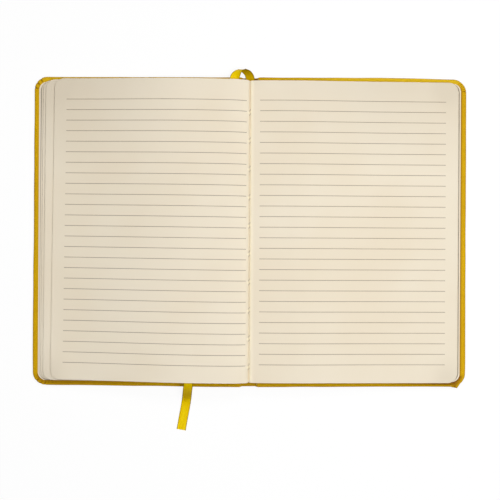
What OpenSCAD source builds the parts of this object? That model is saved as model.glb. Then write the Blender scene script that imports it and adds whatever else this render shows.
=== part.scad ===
// Hardcover ruled notebook lying open at its middle, face up.
// Origin: centre of the spine's underside. X runs across the spread, Y towards the head, Z up.

/* [Cover] */
// Width of the open cover, fore edge to fore edge
cover_w = 294; // [260:1:330]
// Height of the cover, head to tail
cover_h = 210; // [190:1:240]
// Corner radius of the cover
cover_corner = 9; // [6:0.5:12]
// Distance from the pages' glued back to the hinge line on each side
spine_clearance = 0.7; // [0.5:0.1:2]
// Thickness of the yellow covering material
skin_t = 0.7; // [0.5:0.1:0.9]
// Thickness of the two greyboards
board_t = 1.8; // [1.4:0.1:2.4]
// Gap between a hinge line and the board beside it
hinge_gap = 0.5; // [0.3:0.1:1.5]
// Width of the covering turned in over the boards
turn_in_w = 12; // [8:0.5:18]
// Thickness of the pared turn-in
turn_in_t = 0.4; // [0.3:0.05:0.6]
// Distance from a hinge line to the card strip that stiffens the spine
stiffener_gap = 1; // [0.5:0.1:2]
// Thickness of that card strip
stiffener_t = 0.5; // [0.3:0.1:0.6]

/* [Endpapers] */
// Thickness of the paper pasted to the inside of each board
pastedown_t = 0.2; // [0.15:0.05:0.3]
// Cover left showing around the pastedown
pastedown_margin = 3.5; // [2.5:0.25:5]
// Thickness of the flyleaf under the pages
flyleaf_t = 0.15; // [0.1:0.05:0.3]
// Air between a pastedown and the flyleaf on it
flyleaf_air = 0.1; // [0.05:0.05:0.3]

/* [Pages] */
// Cover that stands out past the pages at the head and at the tail
square_w = 3.5; // [3:0.25:5]
// Corner radius of the pages
leaf_corner = 6.2; // [5:0.1:11]
// Bundles of leaves that part from each other in each half
bundles = 4; // [3:1:5]
// Thickness of one bundle
bundle_t = 1; // [0.8:0.05:1.2]
// Half of the open groove at the middle fold
fold_half = 0.3; // [0.3:0.05:0.5]
// Depth of the middle fold below the right page's swell
fold_depth = 3.3; // [2.5:0.1:4]
// Rise of the left pages' swell above their fore edge
left_swell = 9.2; // [6:0.1:14]
// Distance of that swell from the middle fold
left_crown_x = 33; // [28:1:40]
// Air between the left bundles at the fore edge
left_air = 0.45; // [0.1:0.05:0.6]
// Inset of the lowest left bundle from the cover's fore edge
left_inset = 4.4; // [3.8:0.2:6]
// Step from each left bundle to the next at the fore edge
left_setback = 2.5; // [1:0.1:3.5]
// Further step to the topmost left bundle
left_top_step = 2.4; // [0:0.1:6]
// Turn of the topmost left bundle on the others, in degrees
left_skew = 0.6; // [0:0.1:0.8]
// Rise of the right pages' swell above their fore edge
right_swell = 5.7; // [3:0.1:10]
// Distance of that swell from the middle fold
right_crown_x = 30; // [28:1:42]
// Air between the right bundles at the fore edge
right_air = 0.05; // [0.05:0.05:0.2]
// Inset of the lowest right bundle from the cover's fore edge
right_inset = 4; // [3.8:0.2:6]
// Step from each right bundle to the next at the fore edge
right_setback = 0.8; // [0.4:0.1:1.5]

/* [Ruling] */
// Distance between printed lines
line_pitch = 7.1; // [5:0.1:10]
// Width of a printed line
line_w = 0.3; // [0.2:0.05:0.5]
// Thickness given to the printed film
ink_t = 0.06; // [0.04:0.02:0.1]
// Blank paper above the first line
head_margin = 13.95; // [10:0.05:25]
// Least blank paper below the last line
tail_margin = 11; // [8:0.25:20]
// Blank paper at the fore edge of the ruling
fore_margin = 8.1; // [5:0.1:20]
// Distance from the fold to the left page's ruling
left_gutter = 2.2; // [2:0.1:12]
// Distance from the fold to the right page's ruling
right_gutter = 6.8; // [2:0.1:12]
// How much higher the right page's lines lie than the left page's
right_line_rise = 0.7; // [-2:0.1:2]

/* [Sewing and spine] */
// Distance between sewing stations
station_pitch = 19; // [15:1:24]
// Distance from the pages' head and tail to the first station
station_margin = 15.5; // [12:0.5:25]
// Diameter of the sewing thread
thread_d = 0.5; // [0.3:0.05:0.6]
// Distance of the row of stations from the middle of the pages, towards the tail
station_shift = 5.7; // [0:0.1:8]
// Gap between two stitches at a station
stitch_gap = 1.2; // [0.6:0.1:2]
// Thickness of the gauze glued over the pages' back
gauze_t = 0.2; // [0.15:0.05:0.25]
// Thickness of the paper lining glued over the gauze
lining_t = 0.2; // [0.15:0.05:0.25]
// Distance of gauze and lining from the head and the tail of the pages
lining_margin = 14; // [12:0.5:20]

/* [Ribbon] */
// Width of the ribbon marker
ribbon_w = 6.3; // [5:0.1:7]
// Thickness of the ribbon marker
ribbon_t = 0.3; // [0.2:0.05:0.4]

/* [Hidden] */
$fn = 48;
eps = 0.01;

half_w = cover_w / 2;
half_h = cover_h / 2;
back_half = fold_half + bundles * bundle_t;
hinge_x = back_half + spine_clearance;
board_x = hinge_x + hinge_gap;
board_top = skin_t + board_t;
cover_t = board_top + turn_in_t;
pastedown_top = cover_t + pastedown_t;
flyleaf_z = pastedown_top + flyleaf_air;
pages_z = flyleaf_z + flyleaf_t;
pages_h = cover_h - 2 * square_w;

// The pages' glued back lies lower than the flyleaves, inside the spine's hollow
back_sink = 0.95;
back_z = pages_z - back_sink;
glue_depth = 0.6;

// Each half of the book: side sign, crown, air, fore edge and shape of the curve past the crown
LEFT = 0;
RIGHT = 1;
swell = [left_swell, right_swell];
crown_x = [left_crown_x, right_crown_x];
air = [left_air, right_air];
fore_inset = [left_inset, right_inset];
fore_step = [left_setback, right_setback];
top_step = [left_top_step, 0];
swell_reach = [40, 14];
fall_reach = [36, 65];
fall_lift = [1, 1.25];
rise_steps = 10;
fall_steps = 12;
fan_power = 1.3;
low_crown_gap = 1.7;
ribbon_lift = 0.5;
fold_lap = 0.2;

function mix(a, b, f) = a + (b - a) * f;
function fan(i) = pow((i - 1) / (bundles - 1), fan_power);
function rest_z(side, i) = pages_z + i * bundle_t + (i - 1) * air[side];
function crown_z(side, i) = rest_z(side, i) + swell[side] * fan(i);
fold_z = crown_z(RIGHT, bundles) - fold_depth;
function crown_at(side, i) = mix(back_half + low_crown_gap, crown_x[side], fan(i));
function fore_x(side, i) =
    half_w - fore_inset[side] - (i - 1) * fore_step[side] - (i == bundles ? top_step[side] : 0);

// Cubic curve through four control points
function bezier(c, s) =
    pow(1 - s, 3) * c[0] + 3 * pow(1 - s, 2) * s * c[1] + 3 * (1 - s) * s * s * c[2] + pow(s, 3) * c[3];

// Face of bundle i, its top when under is 0 and its underside when under is 1, from back to crown
function rise_controls(side, i, under) =
    let (
        fx = fold_half + (bundles - i + under) * bundle_t,
        fz = i == bundles && under == 0 ? fold_z : back_z,
        cx = crown_at(side, i),
        cz = crown_z(side, i) - under * bundle_t
    )
    [
        [fx, fz],
        [fx, mix(fz, cz, mix(0.5, 0.85, fan(i)))],
        [mix(cx, fx, mix(0.5, 0.67, fan(i))), cz],
        [cx, cz]
    ];

// The same face from the crown to the fore edge
function fall_controls(side, i, under) =
    let (
        cx = crown_at(side, i),
        cz = crown_z(side, i) - under * bundle_t,
        ex = fore_x(side, i),
        ez = rest_z(side, i) - under * bundle_t,
        third = (ex - cx) / 3
    )
    [
        [cx, cz],
        [cx + mix(third, swell_reach[side], fan(i)), cz],
        [ex - mix(third, fall_reach[side], fan(i)), ez + fall_lift[side] * fan(i)],
        [ex, ez]
    ];

function leaf_face(side, i, under) =
    let (
        rise = rise_controls(side, i, under),
        fall = fall_controls(side, i, under)
    )
    concat(
        [for (k = [0 : rise_steps - 1]) bezier(rise, k / rise_steps)],
        [for (k = [0 : fall_steps]) bezier(fall, k / fall_steps)]
    );

function reversed(list) = [for (k = [len(list) - 1 : -1 : 0]) list[k]];
function lifted(list, dz) = [for (p = list) p + [0, dz]];

// Ruling
line_count = floor((pages_h - head_margin - tail_margin) / line_pitch) + 1;
first_line_y = pages_h / 2 - head_margin;

// Sewing
station_count = floor((pages_h - 2 * station_margin) / station_pitch) + 1;
first_station_y = (station_count - 1) * station_pitch / 2 - station_shift;

// Ribbon. Under the leaves' back it lies flat, then it curls up past the head and back between the two
// topmost left bundles, and falls over the foot onto the table.
ribbon_back_z = back_z - ribbon_t / 2 - 0.03;
function leaf_top(d) = lookup(d, leaf_face(LEFT, bundles - 1, 0));
function ribbon_z(d) = leaf_top(d) + ribbon_lift;
function ribbon_tilt(d) = (leaf_top(d - ribbon_w / 2) - leaf_top(d + ribbon_w / 2)) / ribbon_w;

// Curl: place across, distance beyond the head, share of its height, and which way the width points
curl = [
    [0.2, -11.5, 0, [1, 0, 0]], [0.2, -5.5, 0, [1, 0, 0]], [0.2, 0.3, 0, [1, 0, 0]],
    [0.1, 2.2, 0.11, [0.92, 0.08, 0.37]], [-0.8, 4.5, 0.38, [0.83, 0.18, 0.53]],
    [-2.3, 6.3, 0.62, [0.63, 0.24, 0.74]], [-3.9, 7.1, 0.8, [0.32, 0.28, 0.905]],
    [-5.25, 7.3, 0.9, [0.03, 0, 1]], [-6.65, 6.9, 0.98, [0.3, -0.27, 0.915]],
    [-8.5, 5.9, 1.05, [0.62, -0.31, 0.72]], [-10, 3.8, 1.07, [0.84, -0.3, 0.35]],
    [-10.9, 1.4, 1.04, [0.95, -0.15, -0.25]]
];
// Between the leaves: place across and share of half the leaves' height
laid = [
    [-11.3, 0.995], [-12.3, 0.887], [-15, 0.69], [-19.3, 0.394], [-25, 0],
    [-31, -0.394], [-37, -0.788], [-40.2, -0.985]
];
// Tail: place across, distance beyond the foot, share of its height
tail = [
    [-40.5, 1.5, 0.97], [-40.8, 3.6, 0.88], [-41.1, 5.6, 0.75], [-41.4, 7.6, 0.58], [-41.7, 9.6, 0.4],
    [-42, 11.6, 0.235], [-42.4, 14, 0.1], [-43, 17.5, 0.03], [-44.2, 24, 0], [-45.9, 33.9, 0]
];
ribbon_floor = ribbon_t / 2 + 0.05;
curl_top = ribbon_z(-laid[0][0]) - ribbon_back_z;
tail_top = ribbon_z(-laid[len(laid) - 1][0]) - ribbon_floor;
ribbon_route = concat(
    [for (c = curl) [c[0], pages_h / 2 + c[1], ribbon_back_z + c[2] * curl_top]],
    [for (c = laid) [c[0], c[1] * pages_h / 2, ribbon_z(-c[0])]],
    [for (c = tail) [c[0], -pages_h / 2 - c[1], ribbon_floor + c[2] * tail_top]]
);
ribbon_across = concat(
    [for (c = curl) c[3]],
    [for (c = laid) [1, 0, ribbon_tilt(-c[0])]],
    [for (c = tail) [1, 0, 0]]
);

// Half of the cover's outline, drawn back from its edge by inset, from the line x = from_x outwards
module cover_outline(from_x, inset) {
    r = cover_corner - inset > 0.5 ? cover_corner - inset : 0.5;
    far_x = half_w - inset;
    far_y = half_h - inset;
    translate([from_x, -far_y]) square([far_x - r - from_x, 2 * far_y]);
    translate([from_x, r - far_y]) square([far_x - from_x, 2 * (far_y - r)]);
    for (s = [-1, 1]) translate([far_x - r, s * (far_y - r)]) circle(r);
}

// Outline of one leaf, from the line x = from_x to its fore edge
module leaf_outline(from_x, far_x) {
    far_y = pages_h / 2;
    translate([from_x, -far_y]) square([far_x - leaf_corner - from_x, pages_h]);
    translate([from_x, leaf_corner - far_y]) square([far_x - from_x, pages_h - 2 * leaf_corner]);
    for (s = [-1, 1]) translate([far_x - leaf_corner, s * (far_y - leaf_corner)]) circle(leaf_corner);
}

module slab(z, t) {
    translate([0, 0, z]) linear_extrude(t) children();
}

module on_side(side) {
    mirror([side == LEFT ? 1 : 0, 0, 0]) children();
}

// Covering of one board: outer face, wrapped edges and pared turn-in, as one sheet
module cover_skin() {
    color("#e0b010")
        difference() {
            slab(0, cover_t) cover_outline(hinge_x, 0);
            slab(skin_t, board_t) cover_outline(hinge_x - 1, skin_t);
            slab(board_top - eps, cover_t) cover_outline(hinge_x - 1, turn_in_w);
        }
}

module board() {
    color("#8f877c") slab(skin_t, board_t) cover_outline(board_x, skin_t);
}

// Paper pasted over the turn-in's edge and down onto the board
module pastedown() {
    color("#e8dcc6")
        difference() {
            union() {
                slab(cover_t, pastedown_t) cover_outline(board_x, pastedown_margin);
                slab(board_top, turn_in_t + eps) cover_outline(board_x, turn_in_w);
            }
            slab(board_top + pastedown_t, cover_t) cover_outline(board_x - 1, turn_in_w + pastedown_t);
        }
}

module flyleaf(side) {
    lowest_crown = crown_at(side, 1);
    color("#eee4d0") slab(flyleaf_z, flyleaf_t) leaf_outline(lowest_crown, fore_x(side, 1));
}

module spine_cover_skin() {
    turn_z = skin_t + stiffener_t;
    color("#e0b010") {
        translate([-hinge_x, -half_h, 0]) cube([2 * hinge_x, cover_h, skin_t]);
        for (s = [0, 1]) mirror([0, s, 0]) {
            translate([-hinge_x, half_h - skin_t, 0]) cube([2 * hinge_x, skin_t, turn_z + turn_in_t]);
            translate([-hinge_x, half_h - turn_in_w, turn_z]) cube([2 * hinge_x, turn_in_w, turn_in_t]);
        }
    }
}

module spine_stiffener() {
    half = hinge_x - stiffener_gap;
    length = cover_h - 2 * skin_t;
    color("#b9ac97") translate([-half, -length / 2, skin_t]) cube([2 * half, length, stiffener_t]);
}

// Upright cut of one bundle, drawn out along the book
module bundle_body(side, i) {
    length = cover_h + 2 * cover_corner;
    color("#f3ead6") translate([0, length / 2, 0]) rotate([90, 0, 0]) linear_extrude(length)
        polygon(concat(leaf_face(side, i, 0), reversed(leaf_face(side, i, 1))));
}

// The turn of each bundle on the table, which only the topmost left one has
function skew(side, i) = side == LEFT && i == bundles ? left_skew : 0;

module bundle(side, i) {
    on_side(side) intersection() {
        bundle_body(side, i);
        rotate([0, 0, skew(side, i)]) slab(0, crown_z(side, i) + bundle_t)
            leaf_outline(-back_half, fore_x(side, i));
    }
}

// Inner leaves under the middle fold, up to the groove's floor
module fold_ridge() {
    top = fold_half + fold_lap;
    foot = top + bundle_t;
    translate([0, pages_h / 2, 0]) rotate([90, 0, 0]) linear_extrude(pages_h)
        polygon([[-foot, back_z], [foot, back_z], [top, fold_z], [-top, fold_z]]);
}

// All the leaves, joined where they are sewn and glued at the back
module text_block() {
    color("#f3ead6") {
        translate([-back_half, -pages_h / 2, back_z]) cube([2 * back_half, pages_h, glue_depth]);
        fold_ridge();
        for (side = [LEFT, RIGHT], i = [1 : bundles]) bundle(side, i);
    }
}

// Printed film over one page, as thin as ink_t, cut to the lines
module page_lines(side, gutter, rise) {
    face = leaf_face(side, bundles, 0);
    far_x = fore_x(side, bundles) - fore_margin;
    on_side(side) intersection() {
        translate([0, pages_h / 2, 0]) rotate([90, 0, 0]) linear_extrude(pages_h)
            polygon(concat(lifted(face, ink_t), reversed(face)));
        rotate([0, 0, skew(side, bundles)])
            for (k = [0 : line_count - 1])
                translate([gutter, first_line_y + rise - k * line_pitch - line_w / 2, fold_z])
                    cube([far_x - gutter, line_w, crown_z(side, bundles)]);
    }
}

module ruled_lines() {
    color("#c5b8a5") {
        page_lines(LEFT, left_gutter, 0);
        page_lines(RIGHT, right_gutter, right_line_rise);
    }
}

// Stitches along the middle fold, one between each two stations
module sewing_thread() {
    length = station_pitch - stitch_gap;
    color("#f6f0e2")
        for (k = [0 : station_count - 2])
            translate([0, first_station_y - k * station_pitch - stitch_gap / 2, fold_z + thread_d / 2])
                rotate([90, 0, 0]) cylinder(h = length, d = thread_d, $fn = 24);
}

module back_strip(top_z, t) {
    length = pages_h - 2 * lining_margin;
    translate([-back_half, -length / 2, top_z - t]) cube([2 * back_half, length, t]);
}

module spine_gauze() {
    color("#ddd6c4") back_strip(back_z, gauze_t);
}

module spine_lining() {
    color("#c2a983") back_strip(back_z - gauze_t, lining_t);
}

function unit(v) = v / norm(v);
function heading(k) =
    unit(ribbon_route[min(k + 1, len(ribbon_route) - 1)] - ribbon_route[max(k - 1, 0)]);
function squared(v, t) = unit(v - (v * t) * t);

// Flat eight-sided section of the ribbon at point k of its route
function ribbon_ring(k) =
    let (
        along = heading(k),
        across = squared(ribbon_across[k], along),
        through = cross(along, across),
        w = ribbon_w / 2,
        t = ribbon_t / 2,
        edge = ribbon_t / 2,
        section = [
            [w, t / 2], [w - edge, t], [edge - w, t], [-w, t / 2],
            [-w, -t / 2], [edge - w, -t], [w - edge, -t], [w, -t / 2]
        ]
    )
    [for (q = section) ribbon_route[k] + q[0] * across + q[1] * through];

module ribbon_marker() {
    rings = len(ribbon_route);
    points = [for (k = [0 : rings - 1]) each ribbon_ring(k)];
    sides = [
        for (k = [0 : rings - 2], j = [0 : 7])
            let (a = k * 8 + j, b = k * 8 + (j + 1) % 8)
            each [[a, b, b + 8], [a, b + 8, a + 8]]
    ];
    start = [for (j = [7 : -1 : 0]) j];
    end = [for (j = [0 : 7]) (rings - 1) * 8 + j];
    color("#e2c410") polyhedron(points, concat(sides, [start, end]));
}

on_side(LEFT) cover_skin();  // front_cover_skin
spine_cover_skin();
on_side(RIGHT) cover_skin();  // back_cover_skin
on_side(LEFT) board();  // front_board
on_side(RIGHT) board();  // back_board
spine_stiffener();
on_side(LEFT) pastedown();  // front_pastedown
on_side(RIGHT) pastedown();  // back_pastedown
on_side(LEFT) flyleaf(LEFT);  // front_flyleaf
on_side(RIGHT) flyleaf(RIGHT);  // back_flyleaf
text_block();
ruled_lines();
sewing_thread();
spine_gauze();
spine_lining();
ribbon_marker();
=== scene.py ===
import math

import bpy
import numpy as np
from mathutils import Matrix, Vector


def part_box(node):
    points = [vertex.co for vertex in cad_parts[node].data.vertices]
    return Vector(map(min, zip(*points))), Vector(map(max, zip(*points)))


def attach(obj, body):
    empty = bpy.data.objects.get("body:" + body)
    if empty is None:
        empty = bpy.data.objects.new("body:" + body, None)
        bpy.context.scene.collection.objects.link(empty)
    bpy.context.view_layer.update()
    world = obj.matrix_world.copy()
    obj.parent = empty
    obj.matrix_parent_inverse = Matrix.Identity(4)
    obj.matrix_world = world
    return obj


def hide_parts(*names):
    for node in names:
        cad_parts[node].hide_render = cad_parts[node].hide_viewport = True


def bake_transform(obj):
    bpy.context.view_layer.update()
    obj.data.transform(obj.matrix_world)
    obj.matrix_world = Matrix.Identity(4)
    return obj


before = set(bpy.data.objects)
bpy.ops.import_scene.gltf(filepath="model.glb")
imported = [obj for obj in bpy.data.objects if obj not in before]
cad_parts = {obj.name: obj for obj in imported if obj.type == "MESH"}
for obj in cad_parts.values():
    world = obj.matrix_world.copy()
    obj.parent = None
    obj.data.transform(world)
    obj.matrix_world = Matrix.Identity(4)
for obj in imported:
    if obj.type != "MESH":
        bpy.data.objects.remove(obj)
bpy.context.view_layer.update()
mm = 0.001
scene = bpy.context.scene
scene.view_settings.view_transform = "Standard"
print("frame loaded:", len(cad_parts), "nodes")

# sizes that the frame already holds, in millimetres
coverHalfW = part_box("back_cover_skin")[1].x / mm
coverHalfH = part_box("back_cover_skin")[1].y / mm
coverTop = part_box("back_cover_skin")[1].z / mm
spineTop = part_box("spine_cover_skin")[1].z / mm
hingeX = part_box("back_cover_skin")[0].x / mm
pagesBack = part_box("text_block")[0].z / mm
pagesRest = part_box("back_flyleaf")[1].z / mm
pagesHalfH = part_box("back_flyleaf")[1].y / mm
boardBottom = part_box("back_board")[0].z / mm
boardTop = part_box("back_board")[1].z / mm


# Camera, straight above the picture's middle
view = {
    "middle": (0.5, -12.3),  # point of the table at the middle of the picture
    "plane": 2.0,  # height at which the picture's width is measured
    "distance": 650.0,  # from the lens to that height
    "pictureWidth": 340.9,  # what the picture takes in there
    "turn": 0.3,  # degrees that the notebook lies askew in the picture
}
camera = bpy.data.objects.new("camera", bpy.data.cameras.new("camera"))
scene.collection.objects.link(camera)
camera.data.sensor_width = 36.0
camera.data.lens = 36.0 * view["distance"] / view["pictureWidth"]
camera.location = Vector((*view["middle"], view["plane"] + view["distance"])) * mm
camera.rotation_euler = (0, 0, math.radians(view["turn"]))
camera.data.clip_start = 0.01
scene.camera = camera
print("camera placed")


# Small helpers for meshes
def meshPiece(name, points, faces, uv=None):
    mesh = bpy.data.meshes.new(name)
    mesh.from_pydata([tuple(p) for p in np.asarray(points, float) * mm], [], faces)
    if uv is not None:
        layer = mesh.uv_layers.new(name="sheet")
        index = np.empty(len(mesh.loops), np.int32)
        mesh.loops.foreach_get("vertex_index", index)
        layer.data.foreach_set("uv", (np.asarray(uv, float)[index] * mm).astype(np.float32).ravel())
    mesh.validate()
    piece = bpy.data.objects.new(name, mesh)
    scene.collection.objects.link(piece)
    return piece


def smoothEdges(piece, angle=35):
    piece.data.shade_smooth()
    piece.data.set_sharp_from_angle(angle=math.radians(angle))


def addNumbers(piece, name, values):
    layer = piece.data.attributes.new(name, "FLOAT", "POINT")
    layer.data.foreach_set("value", np.asarray(values, np.float32))


def addVectors(piece, name, values):
    layer = piece.data.attributes.new(name, "FLOAT_VECTOR", "POINT")
    layer.data.foreach_set("vector", (np.asarray(values, float) * mm).astype(np.float32).ravel())


def gridFaces(rows, columns, closed=False):
    faces = []
    for r in range(rows - 1):
        for c in range(columns if closed else columns - 1):
            d = (c + 1) % columns
            a = r * columns
            faces.append((a + c, a + d, a + columns + d, a + columns + c))
    return faces


def tubeFaces(rows, columns):
    # a closed ring of points in each row, and a face over both ends
    last = (rows - 1) * columns
    ends = [tuple(range(columns - 1, -1, -1)), tuple(range(last, last + columns))]
    return gridFaces(rows, columns, closed=True) + ends


def softNoise(x, y, seed, scale):
    # a smooth, repeatable wobble between about -1 and 1, for points in millimetres
    random = np.random.default_rng(seed)
    total = np.zeros(np.broadcast(x, y).shape)
    for k in range(6):
        angle = random.uniform(0, 2 * math.pi)
        phase = random.uniform(0, 2 * math.pi)
        wave = random.uniform(0.7, 1.6) / scale
        total = total + np.sin((x * math.cos(angle) + y * math.sin(angle)) * wave * 2 * math.pi + phase)
    return total / 3.0


def smoothLine(points, step):
    # a line through the points, with more points about one step apart, and where each lies between them
    p = np.asarray(points, float)
    ends = np.vstack([2 * p[0] - p[1], p, 2 * p[-1] - p[-2]])
    line, where = [], []
    for k in range(len(p) - 1):
        a, b, c, d = ends[k:k + 4]
        ta = math.sqrt(np.linalg.norm(b - a))
        tb = math.sqrt(np.linalg.norm(c - b))
        tc = math.sqrt(np.linalg.norm(d - c))
        m1 = (c - b) + tb * ((b - a) / ta - (c - a) / (ta + tb))
        m2 = (c - b) + tb * ((d - c) / tc - (d - b) / (tb + tc))
        count = max(1, round(np.linalg.norm(c - b) / step))
        for t in np.arange(count) / count:
            h = (2 * t**3 - 3 * t**2 + 1, t**3 - 2 * t**2 + t, 3 * t**2 - 2 * t**3, t**3 - t**2)
            line.append(h[0] * b + h[1] * m1 + h[2] * c + h[3] * m2)
            where.append(k + t)
    line.append(p[-1])
    where.append(len(p) - 1.0)
    return np.array(line), np.array(where)


# Pages and ruling: the solid's sizes and curves, and ten leaves in each bundle
ruling = {
    "pitch": 7.1,
    "width": 0.3,
    "first": 87.55,
    "lines": 26,
    "rightRise": 0.7,  # the right page's lines lie this much higher
    "foreMargin": 8.1,
    "leftGutter": 2.2,
    "rightGutter": 6.8,
}
pages = {
    "bundles": 4,
    "bundleThick": 1.0,
    "leaves": 10,
    "leafShare": 0.93,  # of a leaf's pitch that is paper
    "foldHalf": 0.3,
    "groove": 0.15,  # half of the groove that is left open over the stitches
    "foldDepth": 3.3,  # of the middle fold below the right page's swell
    "foldLap": 0.2,  # of the leaves over the ridge that carries the fold
    "corner": 6.2,
    "fanPower": 1.3,
    "lowCrownGap": 1.7,  # from the block's back to the lowest bundle's crown
    "scatter": 0.16,  # how unevenly the leaves' edges lie
    "backHalf": 4.3,
    "glue": 0.6,
    "lastSteps": (0.94, 0.955, 0.968, 0.978, 0.985, 0.991, 0.996, 1.0),
}
# swell, crownX, turn, reach, fall and lift shape the topmost bundle's curve in leafFace
# fore (the fore edges), skew (degrees) and edgeDark (shade beside the bundle above)
# go from the lowest bundle up
# lit gives how much paler the paper is at distances from the fold
halves = {
    "left": {
        "sign": -1,
        "seed": 3,
        "swell": 9.2,
        "crownX": 33.0,
        "turn": 0.67,
        "reach": 40.0,
        "fall": 36.0,
        "lift": 1.0,
        "air": 0.45,
        "bevel": 0.3,
        "fore": (141.8, 140.3, 138.5, 132.7),
        "skew": (0.25, 0.28, 0.35, 0.6),
        "gutter": ruling["leftGutter"],
        "lineRise": 0.0,
        "edgeDark": (0.85, 0.6, 0.25, 0.0),
        "edgeWide": 0.6,
        # painted shade towards the head: how deep, and from what distance from the fold
        "tone": 1.0,
        "toneStart": 45,
        "lit": {0.2: 0.0, 0.6: 0.4, 2.2: 0.25, 5: 0.0},
    },
    "right": {
        "sign": 1,
        "seed": 7,
        "swell": 5.7,
        "crownX": 30.0,
        "turn": 0.9,
        "reach": 14.0,
        "fall": 65.0,
        "lift": 1.25,
        "air": 0.05,
        "bevel": 0.5,
        "fore": (142.1, 141.6, 141.1, 140.6),
        "skew": (0.0, 0.0, 0.0, 0.0),
        "gutter": ruling["rightGutter"],
        "lineRise": ruling["rightRise"],
        "edgeDark": (0.7, 0.75, 0.75, 0.0),
        "edgeWide": 3.0,
        # painted shade towards the head: how deep, and from what distance from the fold
        "tone": 0.7,
        "toneStart": 0,
        "lit": {0.2: 0.3, 0.6: 0.85, 1.7: 0.7, 3.2: 0.0},
    },
}


def tableAt(table, at):
    # a dictionary of places and values, read between its places
    return np.interp(at, list(table), list(table.values()))


def mixOf(a, b, share):
    return a + (b - a) * share


def bezier(controls, s):
    c = np.asarray(controls, float)
    s = np.asarray(s, float)[:, None]
    return (1 - s)**3 * c[0] + 3 * (1 - s)**2 * s * c[1] + 3 * (1 - s) * s**2 * c[2] + s**3 * c[3]


def foreEdge(half, bundle):
    return half["fore"][bundle - 1]


def fanOf(bundle):
    return ((bundle - 1) / (pages["bundles"] - 1)) ** pages["fanPower"]


def restHeight(half, bundle):
    return pagesRest + bundle * pages["bundleThick"] + (bundle - 1) * half["air"]


def foldHeight():
    return restHeight(halves["right"], pages["bundles"]) + halves["right"]["swell"] - pages["foldDepth"]


def leafFace(half, bundle, under, rise, fall):
    # points (distance from the fold, height) of a bundle's top (under 0) or underside (under 1)
    count = pages["bundles"]
    thick = pages["bundleThick"]
    fan = fanOf(bundle)
    restZ = restHeight(half, bundle)
    atGroove = bundle == count and under == 0
    foldZ = foldHeight() if atGroove else pagesBack
    foldX = pages["groove" if atGroove else "foldHalf"] + (count - bundle + under) * thick
    crownX = mixOf(pages["backHalf"] + pages["lowCrownGap"], half["crownX"], fan)
    crownZ = restZ + half["swell"] * fan - under * thick
    foreX = foreEdge(half, bundle)
    foreZ = restZ - under * thick
    third = (foreX - crownX) / 3
    up = [
        (foldX, foldZ),
        (foldX, mixOf(foldZ, crownZ, mixOf(0.5, 0.85, fan))),
        (mixOf(crownX, foldX, mixOf(0.5, half["turn"], fan)), crownZ),
        (crownX, crownZ),
    ]
    down = [
        (crownX, crownZ),
        (crownX + mixOf(third, half["reach"], fan), crownZ),
        (foreX - mixOf(third, half["fall"], fan), foreZ + half["lift"] * fan),
        (foreX, foreZ),
    ]
    return np.vstack([bezier(up, rise)[:-1], bezier(down, fall)])


# Ribbon marker: from the leaves' back, curled up past the head, laid between the leaves, over the foot
ribbon = {
    "width": 6.3,
    "thickness": 0.3,
    "step": 0.8,
    "lift": 0.5,  # its middle above the leaf it lies on
    "backZ": 2.22,
    "floorZ": 0.2,
    "exit": (0.2, 101.5, 2.3),
    # place across, distance beyond the head, share of the curl's height, and which way the width points
    "curl": [
        (0.2, -11.5, 0, (1, 0, 0)), (0.2, -5.5, 0, (1, 0, 0)), (0.2, 0.3, 0, (1, 0, 0)),
        (0.1, 2.2, 0.11, (0.92, 0.08, 0.37)), (-0.6, 4.5, 0.38, (0.79, 0.17, 0.56)),
        (-2.1, 6.1, 0.62, (0.58, 0.25, 0.75)), (-3.5, 6.75, 0.8, (0.34, 0.2, 0.91)),
        (-5, 7.1, 0.9, (0.12, 0.2, 0.97)), (-6.1, 7.35, 0.98, (0.3, -0.22, 0.9)),
        (-7.8, 6, 1.05, (0.62, -0.36, 0.7)), (-9.3, 3.9, 1.07, (0.84, -0.32, 0.35)),
        (-10.5, 1.4, 1.04, (0.95, -0.15, -0.25)),
    ],
    # place across and share of half the leaves' height
    "laid": [
        (-11.0, 0.995), (-12.2, 0.887), (-15, 0.69), (-19.3, 0.394), (-25, 0),
        (-31, -0.394), (-37, -0.788), (-40.2, -0.985),
    ],
    # place across, distance beyond the foot, share of the height there
    "tail": [
        (-40.5, 1.5, 0.97), (-40.8, 3.6, 0.88), (-41.1, 5.6, 0.75), (-41.4, 7.6, 0.58), (-41.7, 9.6, 0.4),
        (-42, 11.6, 0.235), (-42.4, 14, 0.1), (-43, 17.5, 0.03), (-44.2, 24, 0), (-45.9, 33.9, 0),
    ],
    # painted shade on the satin at each point of the route, where it turns away from the light
    "ribbonShade": {
        0: 0.6, 3: 0.35, 4: 0.5, 6: 0.75, 7: 0.75, 7.4: 0.0, 9: 0.0, 10: 0.1, 12: 0.2,
        19: 0.1, 21: 0.35, 23: 0.6, 24: 0.65, 25: 0.45, 26: 0.2, 28: 0.0,
    },
    # share of the thickness from the middle across to the edge, which is woven thicker and ends round
    "section": {0: 0.78, 0.25: 0.78, 0.5: 0.78, 0.8: 0.78, 0.9: 1.0, 0.96: 1.0, 1: 0.35},
}


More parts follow.
